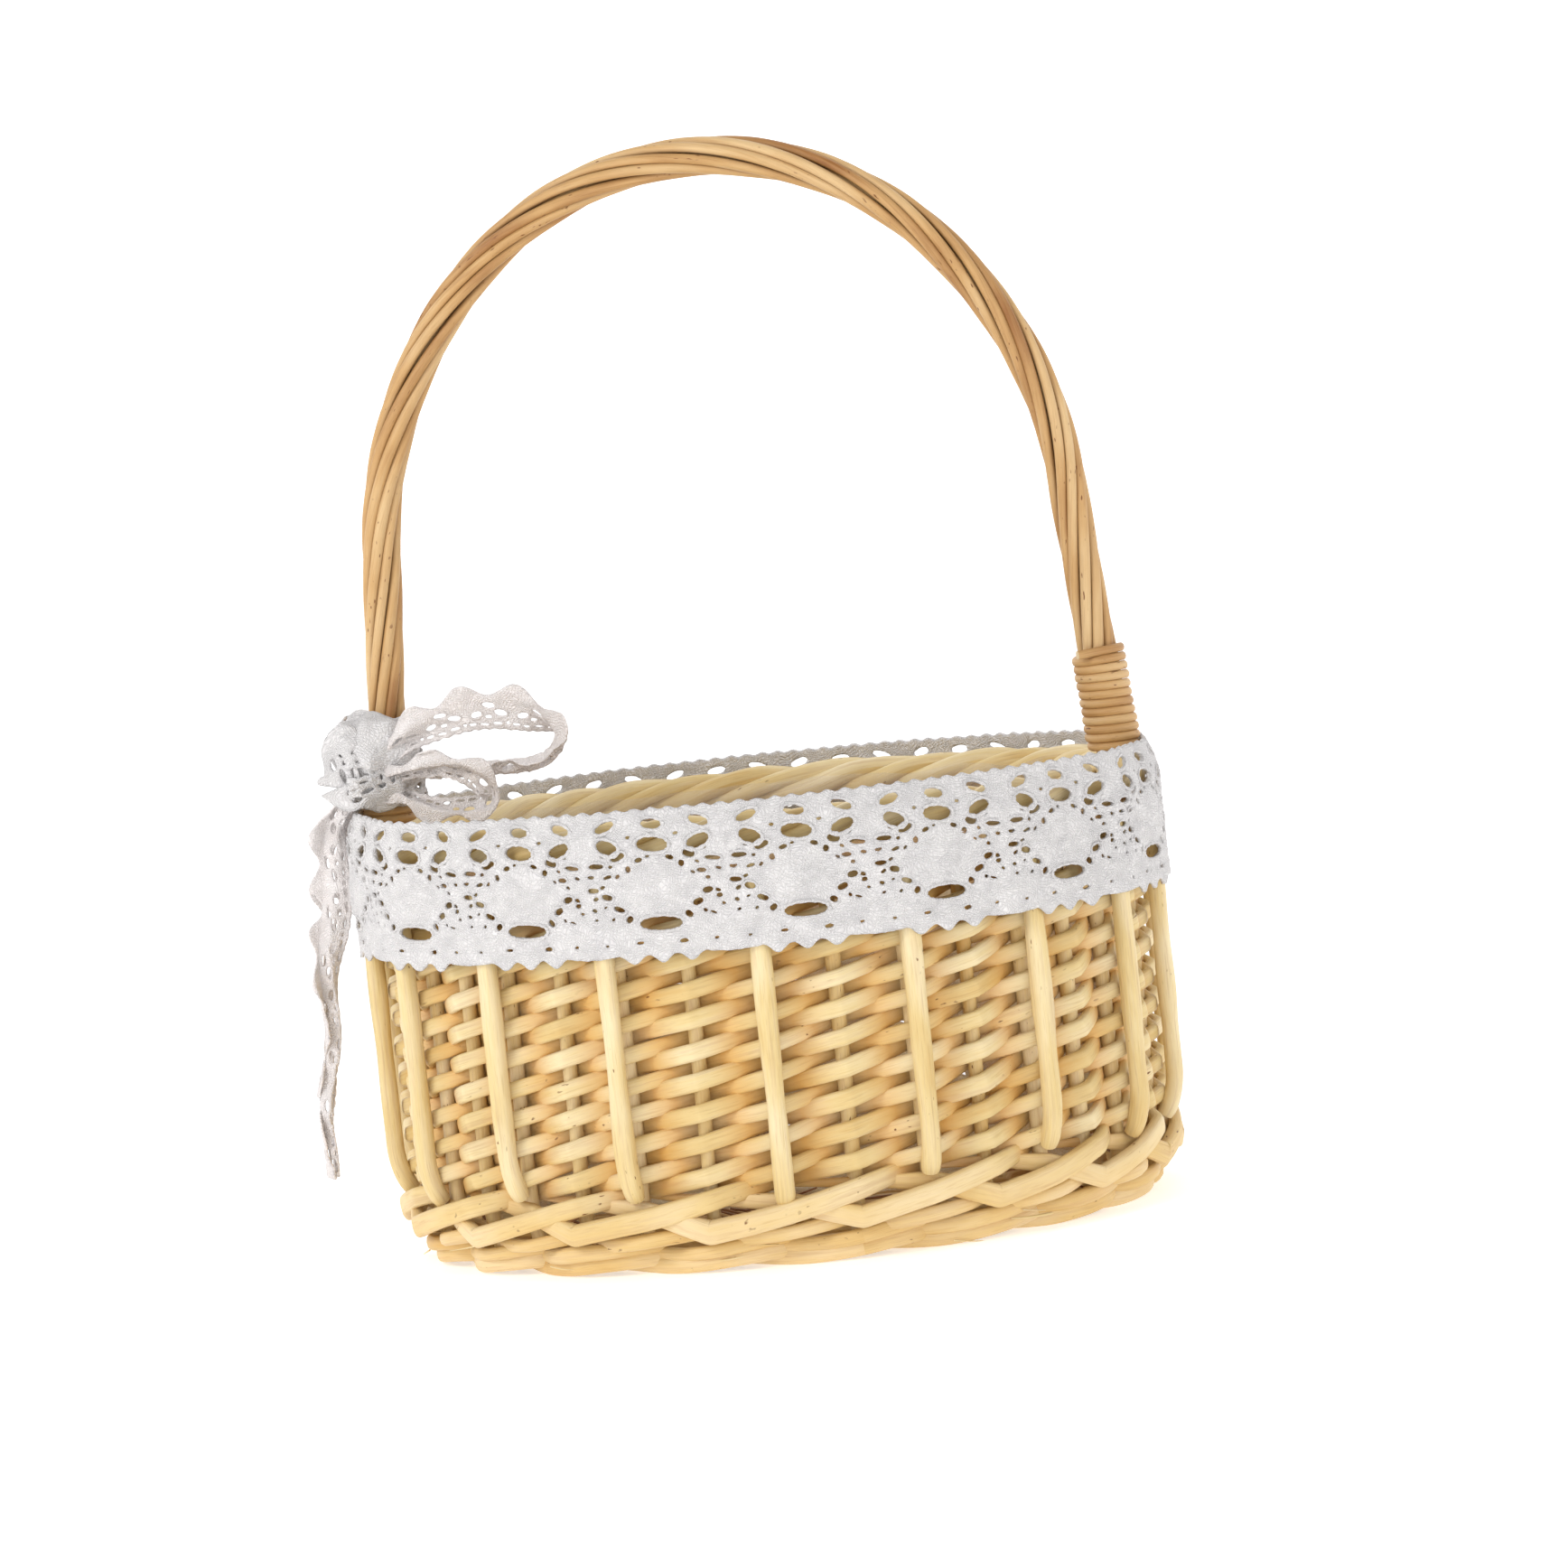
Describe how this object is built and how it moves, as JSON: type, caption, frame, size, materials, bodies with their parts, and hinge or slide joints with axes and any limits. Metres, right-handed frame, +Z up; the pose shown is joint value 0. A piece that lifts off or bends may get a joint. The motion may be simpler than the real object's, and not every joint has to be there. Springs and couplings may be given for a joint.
{
  "type": "flower girl basket",
  "caption": "Small oval wicker basket with a twisted arched handle, a crochet lace band and bow, and a thin clear liner.",
  "frame": {"origin": "middle of the foot, on the surface the basket stands on", "axes": "+X to the right along the basket, +Y to the back, +Z up"},
  "size_m": [0.209, 0.15, 0.2597],
  "materials": {
    "willow": "peeled and dried, satin",
    "cane": "golden tan, satin",
    "lace": "matt cotton",
    "film": "thin clear film"
  },
  "bodies": {
    "basket": {"base_cross_sticks": "willow", "base_long_sticks": "willow", "base_weave": "willow", "inner_stakes": "willow", "outer_stakes": "willow", "foot_rod_1": "willow", "foot_rod_2": "willow", "front_weaver_1": "willow", "front_weaver_2": "willow", "front_weaver_3": "willow", "front_weaver_4": "willow", "front_weaver_5": "willow", "front_weaver_6": "willow", "front_weaver_7": "willow", "front_weaver_8": "willow", "front_weaver_9": "willow", "front_weaver_10": "willow", "front_weaver_11": "willow", "front_weaver_12": "willow", "front_weaver_13": "willow", "front_weaver_14": "willow", "front_weaver_15": "willow", "front_weaver_16": "willow", "front_weaver_17": "willow", "front_weaver_18": "willow", "back_weaver_1": "willow", "back_weaver_2": "willow", "back_weaver_3": "willow", "back_weaver_4": "willow", "back_weaver_5": "willow", "back_weaver_6": "willow", "back_weaver_7": "willow", "back_weaver_8": "willow", "back_weaver_9": "willow", "back_weaver_10": "willow", "back_weaver_11": "willow", "back_weaver_12": "willow", "back_weaver_13": "willow", "back_weaver_14": "willow", "back_weaver_15": "willow", "back_weaver_16": "willow", "back_weaver_17": "willow", "back_weaver_18": "willow", "border_rod_1": "willow", "border_rod_2": "willow", "handle_core": "cane", "handle_strands": "cane", "handle_binding_left": "cane", "handle_binding_right": "cane", "liner": "film", "lace_band": "lace", "bow_wrap": "lace", "bow_knot": "lace", "bow_loop_upper": "lace", "bow_loop_lower": "lace"},
    "tail_front": {"bow_tail_front": "lace"},
    "tail_back": {"bow_tail_back": "lace"}
  },
  "joints": [
    {"name": "tail_front_swing", "type": "hinge", "parent": "basket", "child": "tail_front", "pos_m": [-0.1035, -0.008, 0.1055], "axis": [0, 1, 0], "range_deg": [0, 60]},
    {"name": "tail_back_swing", "type": "hinge", "parent": "basket", "child": "tail_back", "pos_m": [-0.1035, 0.002, 0.1055], "axis": [0, 1, 0], "range_deg": [0, 60]}
  ]
}
